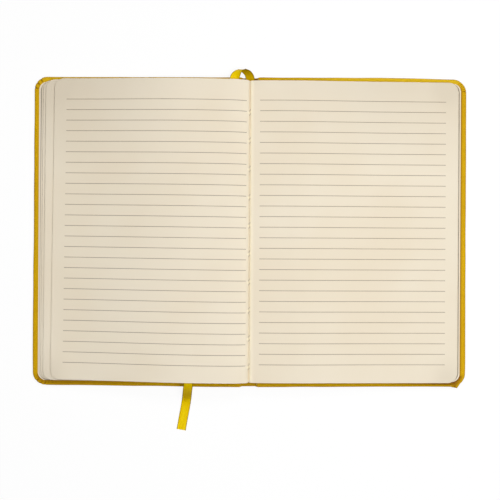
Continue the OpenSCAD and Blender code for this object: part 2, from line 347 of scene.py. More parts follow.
def ribbonRoute():
    rest = leafFace(halves["left"], pages["bundles"] - 1, 0, np.linspace(0, 1, 11), np.linspace(0, 1, 13))

    def leafTop(distance):
        return float(np.interp(distance, rest[:, 0], rest[:, 1]))

    half = ribbon["width"] / 2
    curlTop = leafTop(-ribbon["laid"][0][0]) + ribbon["lift"] - ribbon["backZ"]
    tailTop = leafTop(-ribbon["laid"][-1][0]) + ribbon["lift"] - ribbon["floorZ"]
    route, across = [], []
    for x, beyond, share, way in ribbon["curl"]:
        route.append((x, pagesHalfH + beyond, ribbon["backZ"] + share * curlTop))
        across.append(way)
    for x, share in ribbon["laid"]:
        route.append((x, share * pagesHalfH, leafTop(-x) + ribbon["lift"]))
        across.append((1, 0, (leafTop(-x - half) - leafTop(-x + half)) / ribbon["width"]))
    for x, beyond, share in ribbon["tail"]:
        route.append((x, -pagesHalfH - beyond, ribbon["floorZ"] + share * tailTop))
        across.append((1, 0, 0))
    return route, across


def makeRibbon():
    route, across = ribbonRoute()
    line, where = smoothLine(route, ribbon["step"])
    across = np.asarray(across, float)
    wide = np.stack([np.interp(where, np.arange(len(across)), across[:, k]) for k in range(3)], axis=1)
    along = np.gradient(line, axis=0)
    along /= np.linalg.norm(along, axis=1)[:, None]
    wide -= (wide * along).sum(1)[:, None] * along
    wide /= np.linalg.norm(wide, axis=1)[:, None]
    through = np.cross(along, wide)
    travelled = np.concatenate([[0], np.cumsum(np.linalg.norm(np.diff(line, axis=0), axis=1))])
    half = ribbon["width"] / 2
    section = ribbon["section"]
    places = np.array([-p for p in reversed(section)][:-1] + list(section))
    thick = ribbon["thickness"] / 2 * np.array([section[abs(p)] for p in places])
    ring = np.concatenate([places * half, places[::-1] * half])
    rise = np.concatenate([thick, -thick[::-1]])
    count = len(ring)
    flat = line[:, None, :] + ring[None, :, None] * wide[:, None, :]
    points = flat + rise[None, :, None] * through[:, None, :]
    shape = points.shape[:2]
    uv = np.stack([np.broadcast_to(ring, shape), np.broadcast_to(travelled[:, None], shape)], axis=2)
    points = points.reshape(-1, 3)
    piece = meshPiece("ribbon", points, tubeFaces(len(line), count), uv.reshape(-1, 2))
    addNumbers(piece, "ribbonShade", np.repeat(tableAt(ribbon["ribbonShade"], where), count))
    smoothEdges(piece, 50)
    return piece, line, travelled[-1]


ribbonPiece, ribbonLine, ribbonLength = makeRibbon()
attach(ribbonPiece, "block")
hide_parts("ribbon_marker")
print("ribbon made:", round(ribbonLength), "mm")


# Sewing thread along the fold
sewing = {
    "stations": 10,
    "pitch": 19.0,
    "first": 79.8,
    "gap": 1.2,
    "diameter": 0.5,
    "twist": 1.5,  # length of one full twist
}


# Shader maths: one socket, and the operators that are used on it
class Value:
    def __init__(self, shader, node, key=0):
        self.shader = shader
        self.node = node
        self.socket = node.outputs[key]

    def __getitem__(self, key):
        return Value(self.shader, self.node, key)

    def maths(self, operation, *others, clamp=False):
        sockets = dict(enumerate((self, *others)))
        return self.shader.add("ShaderNodeMath", {"operation": operation, "use_clamp": clamp}, sockets)

    def __add__(self, other):
        return self.maths("ADD", other)

    def __mul__(self, other):
        return self.maths("MULTIPLY", other)

    def __sub__(self, other):
        return self.maths("SUBTRACT", other)

    def __rsub__(self, other):
        return self.shader.add("ShaderNodeMath", {"operation": "SUBTRACT"}, {0: other, 1: self})

    def __truediv__(self, other):
        return self.maths("DIVIDE", other)

    def __pow__(self, other):
        return self.maths("POWER", other)

    def __gt__(self, other):
        return self.maths("GREATER_THAN", other)

    def __lt__(self, other):
        return self.maths("LESS_THAN", other)

    __radd__ = __add__
    __rmul__ = __mul__

    def abs(self):
        return self.maths("ABSOLUTE")

    def sine(self):
        return self.maths("SINE")

    def most(self, other):
        return self.maths("MAXIMUM", other)

    def ramp(self, low, high, start=0.0, end=1.0):
        sockets = {"Value": self, "From Min": low, "From Max": high, "To Min": start, "To Max": end}
        return self.shader.add("ShaderNodeMapRange", {"interpolation_type": "SMOOTHSTEP"}, sockets)


class Shader:
    def __init__(self, name):
        self.material = bpy.data.materials.new(name)
        self.material.use_nodes = True
        self.tree = self.material.node_tree
        self.surface = self.tree.nodes["Principled BSDF"]
        self.output = self.tree.nodes["Material Output"]

    def add(self, kind, settings, sockets, key=0):
        node = self.tree.nodes.new(kind)
        for name, setting in settings.items():
            setattr(node, name, setting)
        for name, value in sockets.items():
            self.join(node.inputs[name], value)
        return Value(self, node, key)

    def join(self, socket, value):
        if isinstance(value, Value):
            self.tree.links.new(value.socket, socket)
        else:
            socket.default_value = value

    def set(self, **sockets):
        for name, value in sockets.items():
            self.join(self.surface.inputs[name.replace("_", " ")], value)

    def place(self):
        return self.add("ShaderNodeTexCoord", {}, {}, "Object")

    def sheet(self):
        return self.add("ShaderNodeUVMap", {"uv_map": "sheet"}, {})

    def axes(self, vector):
        parts = self.add("ShaderNodeSeparateXYZ", {}, {0: vector})
        return parts["X"], parts["Y"], parts["Z"]

    def noise(self, vector, size, detail=3.0, rough=0.55, stretch=(1, 1, 1)):
        at = self.add("ShaderNodeMapping", {}, {"Vector": vector, "Scale": stretch})
        sockets = {"Vector": at, "Scale": 1 / size, "Detail": detail, "Roughness": rough}
        return self.add("ShaderNodeTexNoise", {}, sockets)

    def cracks(self, vector, size):
        # distance to the edge between two cells
        settings = {"feature": "DISTANCE_TO_EDGE"}
        return self.add("ShaderNodeTexVoronoi", settings, {"Vector": vector, "Scale": 1 / size})

    def blend(self, factor, first, second):
        node = self.tree.nodes.new("ShaderNodeMix")
        node.data_type = "RGBA"
        self.join(node.inputs[0], factor)
        self.join(node.inputs[6], first)
        self.join(node.inputs[7], second)
        return Value(self, node, 2)

    def bump(self, height, distance, strength):
        sockets = {"Height": height, "Distance": distance, "Strength": strength}
        return self.add("ShaderNodeBump", {}, sockets)

    def number(self, name):
        return self.add("ShaderNodeAttribute", {"attribute_name": name}, {}, "Fac")


def tint(red, green, blue):
    # a colour as it is seen on a screen, 0 to 255, as the shader needs it
    def straight(value):
        part = value / 255
        return part / 12.92 if part <= 0.04045 else ((part + 0.055) / 1.055) ** 2.4
    return (straight(red), straight(green), straight(blue), 1.0)


# Materials
leatherLook = {
    "colour": tint(214, 168, 4),
    "deep": tint(176, 122, 4),
    "pale": tint(224, 182, 8),
    "grain": 0.0011,
    # painted shade in the tucks, hollows and rolled edges, and beside the pages
    "fold": tint(112, 54, 2),
    # painted light along the head edge
    "head": tint(230, 192, 36),
}


def leatherMaterial():
    s = Shader("cover leather")
    at = s.place()
    grain = s.cracks(at, leatherLook["grain"])
    fine = s.noise(at, 0.0006, 4)
    cloud = s.noise(at, 0.05, 3)
    valley = grain.ramp(0.0, 0.16)
    colour = s.blend(cloud.ramp(0.35, 0.7) * 0.5, leatherLook["colour"], leatherLook["pale"])
    colour = s.blend((1 - valley) * 0.35, colour, leatherLook["deep"])
    # painted light along the head edge, then painted shade in the tucks, hollows and rolled edges and beside
    # the pages
    colour = s.blend(s.number("pale"), colour, leatherLook["head"])
    colour = s.blend(s.number("fold"), colour, leatherLook["fold"])
    normal = s.bump(valley + fine * 0.35, 0.00006, 0.7)
    s.set(Base_Color=colour, Roughness=fine.ramp(0.2, 0.8, 0.42, 0.6), Normal=normal)
    s.set(Specular_IOR_Level=0.06)
    return s.material


ribbonLook = {
    "face": tint(250, 218, 0),
    "shade": tint(226, 172, 0),
    "edge": tint(112, 84, 4),
    # colour and strength of the painted shade along the route
    "dimmed": tint(150, 100, 0),
    "dimming": 0.6,
    "rib": 0.00042,
    "warp": 0.00022,
    "edgeStart": 0.00255,
    "edgeEnd": 0.00295,
}


def ribbonMaterial():
    s = Shader("ribbon satin")
    u, v, w = s.axes(s.sheet())
    ribs = (v * (2 * math.pi / ribbonLook["rib"])).sine() * 0.5 + 0.5
    warps = (u * (2 * math.pi / ribbonLook["warp"])).sine() * 0.5 + 0.5
    streak = s.noise(s.sheet(), 0.0011, 3, 0.6, (1, 0.08, 1))
    edge = u.abs().ramp(ribbonLook["edgeStart"], ribbonLook["edgeEnd"])
    colour = s.blend(streak.ramp(0.35, 0.75) * 0.45, ribbonLook["face"], ribbonLook["shade"])
    colour = s.blend((1 - ribs) * 0.18, colour, ribbonLook["shade"])
    # painted shade along the route
    colour = s.blend(s.number("ribbonShade") * ribbonLook["dimming"], colour, ribbonLook["dimmed"])
    colour = s.blend(edge * 0.75, colour, ribbonLook["edge"])
    normal = s.bump(ribs * 0.7 + warps * 0.3, 0.00004, 0.8)
    s.set(Base_Color=colour, Roughness=streak.ramp(0.3, 0.8, 0.38, 0.5), Normal=normal)
    s.set(Specular_IOR_Level=0.05)
    return s.material


paperLook = {
    "colour": tint(243, 232, 211),
    "warm": tint(238, 224, 199),
    "fibre": 0.0009,
    # colour and strength of the painted shade towards the head and in the corners
    "headCornerShade": tint(190, 178, 158),
    "toning": 0.3,
    "lit": tint(255, 246, 222),
    "ink": tint(132, 106, 80),
    "shade": tint(112, 100, 82),
}


# painted highlight and painted shade on the paper round the stitch holes, in metres, each fading between its
# two distances
pucker = {
    "reach": (0.0011, 0.0019),
    "pale": (0.0004, 0.0009),
    "spotStart": (0.0008, 0.0011),
    "spotEnd": (0.0017, 0.0022),
    "spotReach": (0.0002, 0.0007),
    "spotDark": 0.55,
    "beyond": 0.003,  # how far past the outermost holes it goes
}
# the shade beside the leaves' fore edge on each flyleaf
flyShade = {
    "left": {"far": 141.9, "wide": 0.7, "dark": 0.9},
    "right": {"far": 142.4, "wide": 0.6, "dark": 0.35},
}


def shadeBeside(s, u, v, far, wide):
    # 1 at a leaf's outline, fading to 0 at the given distance outside it
    r = pages["corner"] * mm
    over = (u.abs() - (far - r)).most(0.0)
    beyond = (v.abs() - (pagesHalfH * mm - r)).most(0.0)
    away = (over * over + beyond * beyond) ** 0.5 - r
    return 1 - (away / wide).maths("MULTIPLY", 1.0, clamp=True)


def stitchHoles(s, base, u, v):
    # the paper drawn together at each stitch hole: a painted highlight at the hole, with a spot of painted
    # shade before and after it
    first = sewing["first"] * mm
    pitch = sewing["pitch"] * mm
    past = (((v - first) / pitch + 0.5).maths("FRACT") - 0.5).abs() * pitch
    highest = first + pucker["beyond"]
    near = 1 - u.ramp(*pucker["reach"])
    near = near * (v < highest) * (v > highest - pitch * sewing["stations"])
    base = s.blend(near * (1 - past.ramp(*pucker["pale"])), base, paperLook["lit"])
    spot = past.ramp(*pucker["spotStart"]) * (1 - past.ramp(*pucker["spotEnd"]))
    spot = spot * (1 - u.ramp(*pucker["spotReach"]))
    return s.blend(spot * near * pucker["spotDark"], base, paperLook["shade"])


def ruledLines(s, base, at, v):
    row = (ruling["first"] * mm - v) / (ruling["pitch"] * mm)
    away = ((row + 0.5).maths("FRACT") - 0.5).abs() * (ruling["pitch"] * mm)
    line = 1 - away.ramp(ruling["width"] * mm * 0.4, ruling["width"] * mm * 0.6)
    rows = (row > -0.5) * (row < ruling["lines"] - 0.5)
    # the page's own attribute is 1 where its ruling lies
    ink = line * rows * (s.number("ruled") > 0.5)
    worn = s.noise(at, 0.0004, 2).ramp(0.2, 0.5, 0.8, 1.0)
    return s.blend(ink * worn, base, paperLook["ink"])


def paperMaterial(name, printed=False, beside=None):
    colour = paperLook["colour"]
    warm = paperLook["warm"]
    s = Shader(name)
    at = s.place()
    fibre = s.noise(at, paperLook["fibre"], 5, 0.6)
    cloud = s.noise(at, 0.06, 2)
    base = s.blend(cloud.ramp(0.3, 0.75) * 0.6, colour, warm)
    base = s.blend((1 - fibre.ramp(0.2, 0.6)) * 0.12, base, warm)
    if printed:
        # painted shade towards the head and in the fore-edge corners, then painted light near the fold
        base = s.blend(s.number("headCornerShade") * paperLook["toning"], base, paperLook["headCornerShade"])
        base = s.blend(s.number("lit"), base, paperLook["lit"])
        u, v, w = s.axes(s.sheet())
        base = stitchHoles(s, base, u, v)
        base = ruledLines(s, base, at, v)
        shade = shadeBeside(s, u, v, s.number("edgeAt"), s.number("edgeWide")) * s.number("edgeDark")
        base = s.blend(shade, base, paperLook["shade"])
    if beside:
        x, y, z = s.axes(at)
        shade = shadeBeside(s, x, y, beside["far"] * mm, beside["wide"] * mm) * beside["dark"]
        base = s.blend(shade, base, paperLook["shade"])
    normal = s.bump(fibre, 0.00003, 0.5)
    s.set(Base_Color=base, Normal=normal, Roughness=0.88, Specular_IOR_Level=0.25)
    return s.material


def greyboardMaterial():
    s = Shader("greyboard")
    at = s.place()
    fleck = s.noise(at, 0.0016, 6, 0.7)
    layers = s.noise(at, 0.0012, 3, 0.6, (0.05, 0.05, 3))
    colour = s.blend(fleck.ramp(0.35, 0.7), tint(150, 143, 131), tint(178, 171, 158))
    colour = s.blend(layers.ramp(0.45, 0.65) * 0.4, colour, tint(128, 120, 108))
    normal = s.bump(fleck + layers, 0.00008, 0.6)
    s.set(Base_Color=colour, Normal=normal, Roughness=0.92, Specular_IOR_Level=0.2)
    return s.material


def cardMaterial(name, light, dark, size):
    s = Shader(name)
    at = s.place()
    fibre = s.noise(at, size, 5, 0.65, (1, 0.25, 1))
    colour = s.blend(fibre.ramp(0.3, 0.7), light, dark)
    s.set(Base_Color=colour, Normal=s.bump(fibre, 0.00004, 0.6), Roughness=0.85, Specular_IOR_Level=0.25)
    return s.material


def gauzeMaterial():
    s = Shader("spine gauze")
    x, y, z = s.axes(s.place())
    thread = 2 * math.pi / 0.0011
    warp = (x * thread).sine() * 0.5 + 0.5
    weft = (y * thread).sine() * 0.5 + 0.5
    height = warp.most(weft)
    colour = s.blend(height.ramp(0.2, 0.8), tint(150, 124, 84), tint(226, 216, 192))
    s.set(Base_Color=colour, Normal=s.bump(height, 0.0001, 0.8), Roughness=0.9, Specular_IOR_Level=0.2)
    return s.material


def threadMaterial():
    s = Shader("sewing thread")
    fuzz = s.noise(s.place(), 0.0002, 4, 0.6, (1, 0.3, 1))
    colour = s.blend(fuzz.ramp(0.3, 0.7), tint(250, 245, 232), tint(224, 213, 190))
    s.set(Base_Color=colour, Normal=s.bump(fuzz, 0.00003, 0.6), Roughness=0.6, Specular_IOR_Level=0.35)
    return s.material


leather = leatherMaterial()
satin = ribbonMaterial()
pagePaper = paperMaterial("ruled page paper", printed=True)
endPaper = paperMaterial("endpaper")
leftFly = paperMaterial("left flyleaf paper", beside=flyShade["left"])
rightFly = paperMaterial("right flyleaf paper", beside=flyShade["right"])
thread = threadMaterial()
ribbonPiece.data.materials.append(satin)
print("materials made")

for node, material in {
    "front_board": greyboardMaterial(),
    "back_board": None,
    "spine_stiffener": cardMaterial("spine card", tint(205, 190, 160), tint(180, 162, 130), 0.0012),
    "front_pastedown": endPaper,
    "back_pastedown": endPaper,
    "front_flyleaf": leftFly,
    "back_flyleaf": rightFly,
    "spine_gauze": gauzeMaterial(),
    "spine_lining": cardMaterial("kraft lining", tint(196, 160, 112), tint(168, 130, 84), 0.001),
}.items():
    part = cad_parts[node]
    part.data.materials.clear()
    part.data.materials.append(material or bpy.data.materials["greyboard"])


# Covering: outline, rolled edge and turned-in margin of both boards and the spine
cover = {
    "corner": 9.0,
    "skin": 0.7,
    "turnIn": 12.0,
    "pared": 0.4,
    "blendStart": 4.0,  # the covering bends between these distances from the middle
    "blendEnd": 6.6,
    "edgeWobble": 0.07,
    "straightSteps": 40,
    "cornerSteps": 54,
    "bowReach": 8.0,  # inset at which an edge's bow and its pleats have faded
    "faceStart": 1.5,  # height above which the covering is seen from above
    "pleatDepth": 0.34,
    "pleatIn": 0.7,  # shares of that depth by which a tuck goes in and down
    "pleatDown": 0.9,
    "pleatSwell": 0.16,
    "hollowDip": 0.5,
}
# how far the edges stand out at places along them, in millimetres
bows = {
    "head": {-147: 0, -100: 0.1, -10: 0.35, 10: 0.4, 80: 0.5, 100: 0.4, 120: 0.1, 135: -0.35, 147: -0.4},
    "tail": {-147: -0.15, -120: 0, -60: 0.45, -10: 0.9, 0: 0.85, 10: 0.75, 60: 0.3, 100: -0.1, 147: -0.1},
    "left": {-105: 0.2, -90: 0.3, -60: 0.3, 0: 0.0, 100: -0.15},
    "right": {-105: 0.3, -90: 0.65, -60: 0.6, 0: 0.45, 60: 0.5, 96: 0.4, 105: 0.1},
}
# each corner's tucks: places from the head or tail edge (0) to the fore edge (1), and how dark the painted
# shade in each is
pleats = {
    "frontHead": {"width": 0.055, "tucks": {0.36: 1.0, 0.62: 1.0, 0.9: 1.0}},
    "frontTail": {"width": 0.055, "tucks": {0.06: 1.0, 0.27: 1.0, 0.51: 1.0}},
    "backHead": {"width": 0.038, "tucks": {0.4: 0.5, 0.51: 0.5, 0.62: 0.5, 0.73: 0.5, 0.84: 0.5, 0.97: 1.0}},
}
# the back cover's tail corner: one coarse tuck, a flat run that ends in a point just proud of the tail edge
coarse = {
    "start": 0.5,  # places along the corner, 0 at the fore edge
    "tip": 0.76,
    "tipIn": 4.9,  # from the fore edge
    "tipOut": 0.75,  # past the tail edge
    "tipShift": (0.75, 0.95),  # by which the tip moves for each millimetre of inset
    "reach": 7.0,
    "swell": 0.3,
    # where the tuck's crease lies, its half width, and how dark the painted shadow along it is
    "crease": 0.84,
    "creaseHalf": 0.09,
    "dark": 0.9,
}
# painted shade on the covering, as shares of the dark fold colour: tables by inset, one by the place across
shades = {
    "coarse": {0.9: 0.0, 1.6: 0.3, 2.4: 0.6, 3.3: 0.9},
    "tailCorner": {1.2: 0.0, 2.4: 0.375, 3.3: 0.75},
    "foot": {0.6: 0.0, 1.6: 1.0},
    "footAcross": {-147: 0.5, -110: 0.45, -60: 0.1, 90: 0.1, 125: 0.6, 140: 0.7},
    "side": {2.5: 0.0, 3.3: 0.5},
    "edge": {0.0: 0.4, 0.2: 0.35, 0.6: 0.0},
    "tail": 0.12,
    # painted light along the head edge
    "headPale": 0.7,
}


def edgeChain(top):
    # inset and height of the covering's section, from under the edge, round it and back to the board
    return [
        (1.3, 0.0), (0.62, 0.1), (0.2, 0.4), (0.0, 0.95), (0.0, top - 0.95), (0.16, top - 0.42),
        (0.5, top - 0.12), (0.95, top), (1.6, top), (2.4, top), (3.3, top), (4.5, top), (7.0, top),
        (cover["turnIn"] - 0.4, top), (cover["turnIn"], top - 0.12), (cover["turnIn"], top - cover["pared"]),
        (cover["skin"], top - cover["pared"]), (cover["skin"], cover["skin"]),
    ]


def fade(distance, reach):
    return max(0.0, 1 - distance / reach)


def nearEdge(distance, half):
    # 1 at the outline, 0 a corner's radius inside it
    return min(1.0, max(0.0, (distance - half) / cover["corner"] + 1))


def bowOf(side, place):
    return float(tableAt(bows[side], place))


def outlinePoint(inset, part, t):
    # a point of a board's outline, drawn in by the inset, at a share of the way along one of its parts
    r = max(cover["corner"] - inset, 0.5)
    farX = coverHalfW - inset
    farY = coverHalfH - inset
    reach = farX - r - cover["blendEnd"]
    if part == "head":
        return (cover["blendEnd"] + reach * t, farY)
    if part == "fore":
        return (farX, (farY - r) * (1 - 2 * t))
    if part == "tail":
        return (cover["blendEnd"] + reach * (1 - t), -farY)
    a = math.pi / 2 * (1 - t) if part == "headCorner" else -math.pi / 2 * t
    return (farX - r + r * math.cos(a), math.copysign(farY - r, a) + r * math.sin(a))


def coverStations():
    # part of the outline and how far along it
    straight = cover["straightSteps"]
    turn = cover["cornerSteps"]
    steps = {"head": straight, "headCorner": turn, "fore": straight * 2, "tailCorner": turn, "tail": straight}
    return [(part, k / count) for part, count in steps.items() for k in range(count)] + [("tail", 1.0)]


def bowedPoint(x, y, inset, outer, sign):
    # the point with the small waves and the bow of its edge
    up = 1 if outer[1] > 0 else -1
    ease = fade(inset, cover["bowReach"])
    if inset < 3:
        wobble = cover["edgeWobble"] * softNoise(*outer, 11 if sign > 0 else 12, 38) * (1 - inset / 3)
        x += wobble * (outer[0] > coverHalfW - 1)
        y += wobble * (abs(outer[1]) > coverHalfH - 1) * up
    x += bowOf("right" if sign > 0 else "left", outer[1]) * nearEdge(outer[0], coverHalfW) * ease
    bow = bowOf("head" if up > 0 else "tail", outer[0] * sign)
    return x, y + bow * nearEdge(abs(outer[1]), coverHalfH) * ease * up


def pleatedPoint(x, y, inset, height, place, pleat):
    # the point drawn in at a tuck or swollen between two, and how dark the painted shade in the tuck is there
    nearest = min(pleat["tucks"], key=lambda tuck: abs(place - tuck))
    tuck = fade(abs(place - nearest), pleat["width"])
    ease = min(1.0, height / coverTop * 1.2) * fade(inset, cover["bowReach"])
    pull = cover["pleatDepth"] * tuck * ease
    middleX = coverHalfW - cover["corner"]
    middleY = math.copysign(coverHalfH - cover["corner"], y)
    reach = max(math.hypot(x - middleX, y - middleY), 0.1)
    drawn = pull * cover["pleatIn"] / reach
    z = height
    if height > cover["faceStart"]:
        rib = math.sin(math.pi * place) ** 0.4
        z += cover["pleatSwell"] * (1 - tuck) * rib * ease - pull * cover["pleatDown"]
    return x - (x - middleX) * drawn, y - (y - middleY) * drawn, z, tuck * ease * pleat["tucks"][nearest]


def coarsePoint(x, y, inset, t):
    if t <= coarse["start"]:
        return x, y
    shiftX, shiftY = coarse["tipShift"]
    tip = (coverHalfW - coarse["tipIn"] - inset * shiftX, -coverHalfH - coarse["tipOut"] + inset * shiftY)
    if t < coarse["tip"]:
        low, high = outlinePoint(inset, "tailCorner", coarse["start"]), tip
        u = (t - coarse["start"]) / (coarse["tip"] - coarse["start"])
    else:
        low, high = tip, outlinePoint(inset, "tailCorner", 1)
        u = (t - coarse["tip"]) / (1 - coarse["tip"])
    share = fade(inset, coarse["reach"])
    return mixOf(x, mixOf(low[0], high[0], u), share), mixOf(y, mixOf(low[1], high[1], u), share)


def coarseShade(inset, t):
    # painted shadow of the coarse tuck, deepest along its crease
    along = min(1.0, max(0.0, (t - 0.08) / 0.1)) * min(1.0, (1 - t) / 0.1)
    crease = coarse["dark"] * fade(abs(t - coarse["crease"]), coarse["creaseHalf"]) * fade(inset, 6)
    return max(along * tableAt(shades["coarse"], inset), crease)


def faceShade(inset, outer, sign):
    # shade on the covering's face: along the foot of the pages, the tail and the right side
    shade = 0.0
    if outer[1] < 0:
        atTail = nearEdge(-outer[1], coverHalfH)
        foot = tableAt(shades["footAcross"], outer[0] * sign) * tableAt(shades["foot"], inset)
        shade = atTail * max(foot, shades["tail"] * min(1.0, abs(outer[0]) / 120))
    if sign > 0:
        shade = max(shade, nearEdge(outer[0], coverHalfW) * tableAt(shades["side"], inset))
    return shade


def makeCover(name, sign, headPleat, tailPleat):
    chain = edgeChain(coverTop)
    stations = coverStations()
    points, paintedShades, paintedHeadLights = [], [], []
    for j, (inset, height) in enumerate(chain):
        # the section's last four points lie under the turned-in margin
        shown = height > 0.1 and inset < cover["bowReach"] and j < len(chain) - 4
        onFace = height > cover["faceStart"]
        for part, t in stations:
            outer = outlinePoint(0.0, part, t)
            x, y = bowedPoint(*outlinePoint(inset, part, t), inset, outer, sign)
            z = height
            fold = 0.0
            pleat = {"headCorner": headPleat, "tailCorner": tailPleat}.get(part)
            if pleat and shown:
                place = t if part == "headCorner" else 1 - t
                x, y, z, fold = pleatedPoint(x, y, inset, height, place, pleat)
            if part == "tailCorner" and not tailPleat:
                x, y = coarsePoint(x, y, inset, t)
                if onFace:
                    z += coarse["swell"] * fade(abs(t - 0.6), 0.3) * fade(inset, 3)
                    fold = max(fold, coarseShade(inset, t))
            elif part == "tailCorner" and onFace:
                fold = max(fold, math.sin(math.pi * t) * tableAt(shades["tailCorner"], inset))
            if onFace:
                fold = max(fold, faceShade(inset, outer, sign))
            points.append((x * sign, y, z))
            # painted shade at the rolled edge
            paintedShades.append(max(fold, tableAt(shades["edge"], inset)))
            # painted light along the head edge, weaker on the front cover
            pale = nearEdge(outer[1], coverHalfH) * min(1.0, max(0.0, outer[0] / 60))
            paintedHeadLights.append(pale * shades["headPale"] * (1 if sign > 0 else 0.5))
    rows, columns = len(chain), len(stations)
    faces = [f[::-1] for f in gridFaces(rows, columns)]
    faces.append(tuple(range(columns)))
    faces.append(tuple(range(rows * columns - 1, (rows - 1) * columns - 1, -1)))
    first = [j * columns for j in range(rows)]
    last = [j * columns + columns - 1 for j in range(rows)]
    faces.append(tuple(first[::-1] + last))
    if sign < 0:
        faces = [f[::-1] for f in faces]
    piece = meshPiece(name, points, faces)
    addNumbers(piece, "fold", paintedShades)
    addNumbers(piece, "pale", paintedHeadLights)
    smoothEdges(piece, 38)
    piece.data.materials.append(leather)
    return piece


def makeCoverStrip(name, sections):
    # covering between the boards, from sections along x: x, height of the turned-in edge, depth in the
    # hollow, which also sets the painted shade there
    points, paintedShades = [], []
    for x, top, hollow in sections:
        chain = [(inset, z, fade(inset, cover["bowReach"])) for inset, z in edgeChain(top)]
        dip = cover["hollowDip"] * hollow
        points += [(x, coverHalfH - inset - dip + bowOf("head", x) * ease, z) for inset, z, ease in chain]
        chain.reverse()
        points += [(x, inset - coverHalfH + dip - bowOf("tail", x) * ease, z) for inset, z, ease in chain]
        faces = [z > top / 2 for inset, z, ease in chain]
        # painted shade in the hollow, deep at the head and faint at the tail
        paintedShades += [hollow * 0.85 * face for face in faces[::-1]] + [hollow * 0.25 * face for face in faces]
    piece = meshPiece(name, points, tubeFaces(len(sections), len(points) // len(sections)))
    addNumbers(piece, "fold", paintedShades)
    smoothEdges(piece, 38)
    piece.data.materials.append(leather)
    return piece


frontCover = makeCover("frontCovering", -1, pleats["frontHead"], pleats["frontTail"])
backCover = makeCover("backCovering", 1, pleats["backHead"], None)
spineCover = makeCoverStrip("spineCovering", [(x * cover["blendStart"], spineTop, 1.0) for x in (-1, 0, 1)])
for piece, body, node in (
    (frontCover, "front_cover", "front_cover_skin"),
    (backCover, "back_cover", "back_cover_skin"),
    (spineCover, "block", "spine_cover_skin"),
):
    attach(piece, body)
    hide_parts(node)


def hingeSections(sign):
    steps = 8
    found = []
    for k in range(steps + 1):
        t = k / steps
        x = cover["blendStart"] + (cover["blendEnd"] - cover["blendStart"]) * t
        eased = t * t * (3 - 2 * t)
        found.append((x * sign, spineTop + (coverTop - spineTop) * eased, 1 - eased))
    return found if sign > 0 else found[::-1]


for name, sign, body in (("frontHingeCovering", -1, "front_cover"), ("backHingeCovering", 1, "back_cover")):
    piece = makeCoverStrip(name, hingeSections(sign))
    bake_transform(piece)
print("covering made")


# Pages: leaves in bundles along the curves above
def sheetFaces(count, rows):
    # the faces of a sheet: its top grid, the same grid underneath and the rim between them
    base = count * rows
    top = gridFaces(count, rows)
    low = [tuple(base + i for i in f[::-1]) for f in top]
    rim = [c * rows for c in range(count)] + [(count - 1) * rows + k for k in range(1, rows)]
    rim += [c * rows + rows - 1 for c in range(count - 2, -1, -1)] + list(range(rows - 2, 0, -1))
    return top + low + [(b, a, base + a, base + b) for a, b in zip(rim, rim[1:] + rim[:1])]


def leafSheet(name, half, bundle, riseSteps, fallSteps, rows, waves):
    # one leaf as a thin closed sheet, with the way down to the bundle's underside kept in an attribute
    rise = np.linspace(0, 1, riseSteps)
    fall = np.concatenate([np.linspace(0, 0.92, fallSteps), pages["lastSteps"]])
    top = leafFace(half, bundle, 0, rise, fall)
    low = leafFace(half, bundle, 1, rise, fall)
    far = foreEdge(half, bundle)
    r = pages["corner"]
    sign = half["sign"]
    over = np.clip(top[:, 0] - (far - r), 0, r)
    reachY = pagesHalfH - (r - np.sqrt(np.maximum(r * r - over * over, 0)))
    v = np.linspace(-1, 1, rows)
    # more rows near the head and the tail, where the edges show
    v = np.sign(v) * (1 - (1 - np.abs(v)) ** 1.3)
    y = reachY[:, None] * v[None, :]
    x = np.broadcast_to(top[:, :1], y.shape)
    turn = math.radians(half["skew"][bundle - 1])
    free = np.clip(x / 30, 0, 1)
    planX = x * math.cos(turn) - y * math.sin(turn) * free
    planY = y * math.cos(turn) + x * math.sin(turn)
    dense = leafFace(half, bundle, 0, np.linspace(0, 1, 120), np.linspace(0, 1, 240))
    slopeEnd = (dense[-1, 1] - dense[-8, 1]) / (dense[-1, 0] - dense[-8, 0])
    baseZ = np.broadcast_to(top[:, 1:], y.shape)
    flat = x > half["crownX"] * 0.4
    z = np.where(flat, np.interp(planX, dense[:, 0], dense[:, 1]), baseZ)
    z = z + np.where(planX > far, (planX - far) * slopeEnd, 0)
    loose = np.clip((x - 12) / 60, 0, 1)
    z = z + waves * loose * softNoise(x * sign, y, half["seed"] + bundle, 95)
    inward = np.zeros((*y.shape, 3))
    edge = np.clip((top[:, 0] - 12) / (far - 12), 0, 1)
    inward[..., 0] = (low[:, 0] - top[:, 0] + half["bevel"] * edge)[:, None] * sign
    inward[..., 2] = (low[:, 1] - top[:, 1])[:, None]
    upper = np.stack([planX * sign, planY, z], axis=2).reshape(-1, 3)
    inward = inward.reshape(-1, 3)
    lower = upper + inward * (pages["leafShare"] / pages["leaves"])
    faces = sheetFaces(len(top), rows)
    if sign < 0:
        faces = [f[::-1] for f in faces]
    uv = np.stack([x, y - half["lineRise"]], axis=2).reshape(-1, 2)
    piece = meshPiece(name, np.vstack([upper, lower]), faces, np.vstack([uv, uv]))
    addVectors(piece, "inward", np.vstack([inward, inward]))
    above = foreEdge(half, min(bundle + 1, pages["bundles"]))
    for label, values in {
        "loose": loose,
        "ruled": ruledPart(half, bundle, x),
        "headCornerShade": headCornerShadePart(half, x, y),
        "lit": tableAt(half["lit"], x),
        "edgeAt": np.full(x.shape, above * mm),
        "edgeWide": np.full(x.shape, half["edgeWide"] * mm),
        "edgeDark": np.full(x.shape, half["edgeDark"][bundle - 1]),
    }.items():
        addNumbers(piece, label, np.tile(values.ravel(), 2))
    return piece


def ruledPart(half, bundle, x):
    end = foreEdge(half, bundle) - ruling["foreMargin"]
    return np.clip((x - half["gutter"]) / 4 + 0.5, 0, 1) * np.clip((end - x) / 4 + 0.5, 0, 1)


